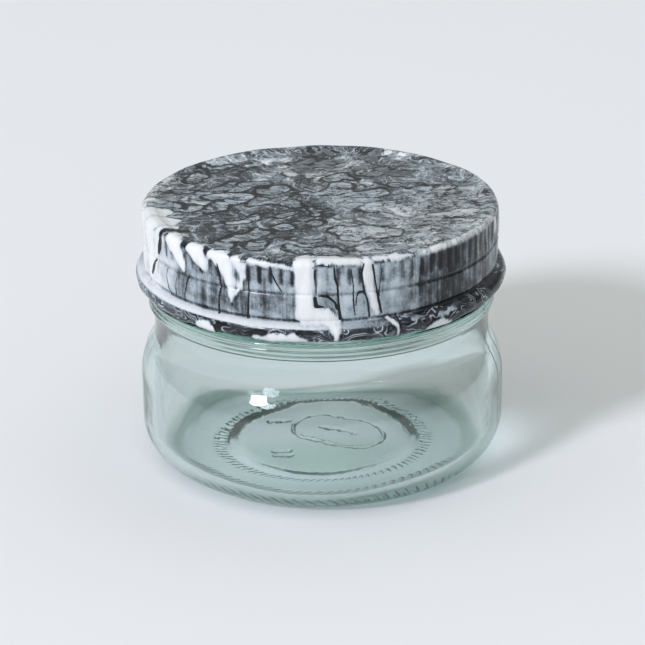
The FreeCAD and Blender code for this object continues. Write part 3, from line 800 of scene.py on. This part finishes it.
def panel_value(g, f):
    """The top: large pale cells with dark rims, small ones between, contours and ridged threads."""
    near_cell = g.math("MULTIPLY_ADD", g.swing(f.flow, 0.6, 2.0), 1.1, f.cell)
    outside = g.math("SUBTRACT", 1.0, g.remap(near_cell, 0.14, -0.12))
    pale = g.remap(f.tone, 0.30, 0.60)

    def add(value, amount, top):
        return g.math("MULTIPLY_ADD", value, amount, top)

    top = add(outside, g.math("SUBTRACT", g.layer("between"), f.tone), f.tone)
    top = g.math("ADD", top, small_cells(g, f, outside))
    rim = g.math("MULTIPLY", g.remap(near_cell, 0.75, 0.35), g.remap(near_cell, 0.0, 0.35))
    top = add(rim, -0.22, top)
    contour = g.noise(f.carried(f.flow, 9.0, 2.2), 0.10, 1.5)
    contour = g.math("SINE", g.math("MULTIPLY", contour, 84.0))
    flowing = g.math("MULTIPLY", g.remap(contour, 0.72, 0.98), outside)
    top = add(flowing, add(pale, -0.50, 0.26), top)
    dark_thread = g.thread(g.noise(f.bent, 0.30, 5.0, 0.58, 0.8), 0.040, 0.010)
    top = add(dark_thread, add(pale, -0.30, -0.06), top)
    drift = g.stretched(g.vector("ADD", f.spot, g.scaled(f.slow, 7.0)), 0.16, 1.0, 0.13)
    line = g.thread(g.noise(drift, 0.55, 4.0, 0.6, 0.5), 0.026, 0.004)
    top = add(line, g.math("MULTIPLY", pale, -0.36), top)
    white_thread = g.thread(g.noise(f.apart(31.0, 7.0, 3.0), 0.26, 4.0, 0.55, 1.0), 0.014, 0.002)
    top = add(g.math("MULTIPLY", white_thread, outside), 0.34, top)
    top = add(f.drawn, add(pale, 0.38, 0.24), top)
    top = add(f.fine, add(outside, 0.34, 0.12), top)
    cloud = g.swing(f.apart(5.0, 43.0, 11.0), 0.17, 3.0, 0.6, 0.6)
    top = add(cloud, add(outside, 0.85, 0.10), top)
    grey_thread = g.thread(g.noise(f.apart(3.0, 71.0, 19.0), 0.42, 3.0, 0.55, 0.6), 0.020, 0.004)
    top = add(g.math("MULTIPLY", grey_thread, outside), add(pale, -0.34, 0.22), top)
    return g.math("ADD", top, 0.025)


def side_value(g, f):
    """The side: streaks drawn down by gravity, and blotches over the flutes."""
    falling = g.swing(g.stretched(f.spot, 1, 1, 0.07), 1.5, 4.0, 0.65)
    blotch = g.swing(g.stretched(f.spot, 1, 1, 1.6), 0.45, 3.0, 0.6, 0.8)
    side = g.math("MULTIPLY_ADD", falling, g.remap(f.tone, 0.70, 0.2, 0.20, 1.15), f.tone)
    side = g.math("MULTIPLY_ADD", f.speck, g.remap(f.tone, 0.75, 0.5, 0.15, 0.40), side)
    return g.math("MULTIPLY_ADD", blotch, g.remap(f.tone, 0.75, 0.5, 0.10, 0.40), side)


def curl_value(g, f):
    """The curl: fine pale lines with broad grey ones under them."""
    rolled = g.noise(f.carried(g.stretched(f.spot, 0.42, 0.42, 1.3), 7.0, 1.6), 0.30, 1.0, 0.5, 0.3)
    bands = g.remap(g.math("SINE", g.math("MULTIPLY", rolled, 104.0)), 0.30, 1.0)
    bands = g.math("MULTIPLY", bands, g.remap(g.noise(f.spot, 0.35, 2.0), 0.38, 0.62, 0.25, 1.0))
    broad = g.math("MULTIPLY", g.math("SINE", g.math("MULTIPLY", rolled, 31.0)), 0.10)
    return g.math("ADD", g.math("MULTIPLY_ADD", bands, 0.54, g.math("SUBTRACT", f.tone, 0.12)), broad)


def paint_material():
    """Poured acrylic: cells and veins on the top, streaks down the side, white pours and black cracks."""
    g = Graph("poured_acrylic")
    f = Flow(g)
    on_top = g.remap(f.height, 42.3, 43.1)
    value = g.mix(on_top, side_value(g, f), panel_value(g, f))
    ring = g.math("MULTIPLY", g.remap(f.height, 33.75, 33.55), g.remap(f.tone, 0.42, 0.28))
    curl = g.math("MAXIMUM", g.remap(f.height, 32.7, 32.4), ring)
    value = g.mix(curl, value, curl_value(g, f))
    # white pours with a blue-grey edge, then cracks
    wander = g.math("MULTIPLY", g.swing(f.flow, 0.8, 4.0, 0.6), 1.7)
    near = g.math("ADD", g.layer("pour"), wander)
    white = g.remap(near, 0.22, -0.28)
    unpoured = g.math("SUBTRACT", 1.0, white)
    lip = g.math("MULTIPLY", g.remap(near, 0.7, 0.25), unpoured)
    value = g.math("MULTIPLY_ADD", lip, g.math("MULTIPLY_ADD", f.fine, 0.9, -0.10), value)
    milk = g.math("MULTIPLY_ADD", f.drawn, 0.30, g.remap(near, -1.0, 0.0, 0.97, 0.86))
    value = g.mix(white, value, milk)
    split = g.remap(g.math("MULTIPLY_ADD", f.speck, 0.12, g.layer("crack")), 0.06, -0.03)
    value = g.math("MULTIPLY", value, g.math("SUBTRACT", 1.0, g.math("MULTIPLY", split, 0.95)))
    colour = g.ramp(value, (0.0, (0.007, 0.008, 0.010)), (0.14, (0.022, 0.026, 0.030)),
                    (0.28, (0.066, 0.078, 0.088)), (0.43, (0.185, 0.218, 0.242)),
                    (0.60, (0.350, 0.415, 0.455)), (0.78, (0.560, 0.597, 0.620)), (1.0, (0.79, 0.80, 0.80)))
    warm = g.math("MULTIPLY", g.remap(g.noise(f.flow, 0.075, 2.0), 0.46, 0.62, 0.0, 0.6), on_top)
    warm = g.math("MULTIPLY", warm, unpoured)
    g.put(g.blend(warm, colour, (1.02, 0.95, 0.89), "MULTIPLY"), g.shader.inputs["Base Color"])
    g.put(g.remap(g.noise(f.spot, 0.8, 3.0), 0.3, 0.7, 0.2, 0.36), g.shader.inputs["Roughness"])
    g.shader.inputs["Specular IOR Level"].default_value = 0.25
    g.shader.inputs["Coat Weight"].default_value = 0.08
    g.shader.inputs["Coat Roughness"].default_value = 0.08
    lumps = g.math("MULTIPLY_ADD", value, 0.3, g.noise(f.flow, 0.9, 4.0))
    g.put(g.bump(lumps, 0.10, 0.45), g.shader.inputs["Normal"])
    return g.material


# --- CAD nodes that stay ------------------------------------------------------------------------


def dress(node, material):
    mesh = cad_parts[node].data
    mesh.materials.clear()
    mesh.materials.append(material)


# --- stage --------------------------------------------------------------------------------------


def floor_material():
    g = Graph("pale_card")
    spot = g.place()
    tone = g.noise(spot, 0.004, 2.0)
    card = g.ramp(tone, (0.3, (0.790, 0.803, 0.813)), (0.7, (0.810, 0.823, 0.833)))
    g.put(card, g.shader.inputs["Base Color"])
    g.shader.inputs["Roughness"].default_value = 0.9
    g.shader.inputs["Specular IOR Level"].default_value = 0.1
    return g.material


FLOOR_HALF, FLOOR_SINK = 2.5, -0.04 * MM  # in metres; sunk so that it isn't in the plane of the base ring
ROOM_COLOUR, ROOM_STRENGTH = (0.849, 0.874, 0.857, 1), 0.95
ROOM_LEVELS = ((0.0, 0.18), (0.25, 0.30), (0.5, 0.80), (1.0, 1.0))  # sine of the elevation, brightness


def make_stage():
    """A pale card floor, and a soft ceiling over dim walls."""
    mesh = bpy.data.meshes.new("floor")
    corners = [(-1, -1), (1, -1), (1, 1), (-1, 1)]
    mesh.from_pydata([(x * FLOOR_HALF, y * FLOOR_HALF, FLOOR_SINK) for x, y in corners], [], [(0, 1, 2, 3)])
    mesh.materials.append(floor_material())
    floor = bpy.data.objects.new("floor", mesh)
    bpy.context.scene.collection.objects.link(floor)
    world = bpy.data.worlds.new("soft_room")
    bpy.context.scene.world = world
    world.use_nodes = True
    back = world.node_tree.nodes["Background"]
    back.inputs["Color"].default_value = ROOM_COLOUR
    nodes, links = world.node_tree.nodes, world.node_tree.links
    direction, parts = nodes.new("ShaderNodeTexCoord"), nodes.new("ShaderNodeSeparateXYZ")
    rise, gain = nodes.new("ShaderNodeValToRGB"), nodes.new("ShaderNodeMath")
    links.new(direction.outputs["Generated"], parts.inputs[0])
    links.new(parts.outputs["Z"], rise.inputs["Fac"])
    line = rise.color_ramp.elements
    while len(line) < len(ROOM_LEVELS):
        line.new(0.5)
    for element, (sine, level) in zip(line, ROOM_LEVELS):
        element.position, element.color = sine, (level, level, level, 1)
    gain.operation = "MULTIPLY"
    links.new(rise.outputs["Color"], gain.inputs[0])
    gain.inputs[1].default_value = ROOM_STRENGTH
    links.new(gain.outputs[0], back.inputs["Strength"])


def aim(item, target):
    item.rotation_euler = (Vector(target) - item.location).to_track_quat("-Z", "Y").to_euler()


LAMP_COLOUR = (0.885, 0.885, 1.0)


def add_lamp(name, bearing, elevation, distance, size, watts):
    lamp = bpy.data.lights.new(name, "AREA")
    lamp.shape, lamp.size, lamp.energy, lamp.color = "DISK", size, watts, LAMP_COLOUR
    item = bpy.data.objects.new(name, lamp)
    flat = distance * math.cos(math.radians(elevation))
    item.location = (flat * math.sin(math.radians(bearing)), -flat * math.cos(math.radians(bearing)),
                     distance * math.sin(math.radians(elevation)))
    aim(item, (0, 0, 0.02))
    bpy.context.scene.collection.objects.link(item)


def make_lights():
    add_lamp("key", bearing=-44, elevation=31, distance=4.0, size=0.69, watts=119.0)


def make_camera():
    elevation, distance, roll = math.radians(22.1), 0.420, math.radians(-0.6)
    target = Vector((0.0002, 0, 0.0219))
    camera = bpy.data.objects.new("camera", bpy.data.cameras.new("camera"))
    camera.data.sensor_width, camera.data.lens = 36.0, 141.7
    camera.data.clip_start, camera.data.clip_end = 0.01, 20
    camera.location = target + Vector((0, -math.cos(elevation), math.sin(elevation))) * distance
    look = (target - camera.location).to_track_quat("-Z", "Y").to_matrix()
    camera.rotation_euler = (look @ Matrix.Rotation(roll, 3, "Z")).to_euler()
    bpy.context.scene.collection.objects.link(camera)
    bpy.context.scene.camera = camera


make_jar()
make_coat()
dress("lid_shell", tin_material())
dress("sealing_gasket", gasket_material())
make_stage()
make_lights()
make_camera()
bpy.context.scene.view_settings.view_transform = "Standard"
bounces = bpy.context.scene.cycles  # the glass needs long light paths
bounces.max_bounces, bounces.glossy_bounces, bounces.transmission_bounces = 32, 24, 32
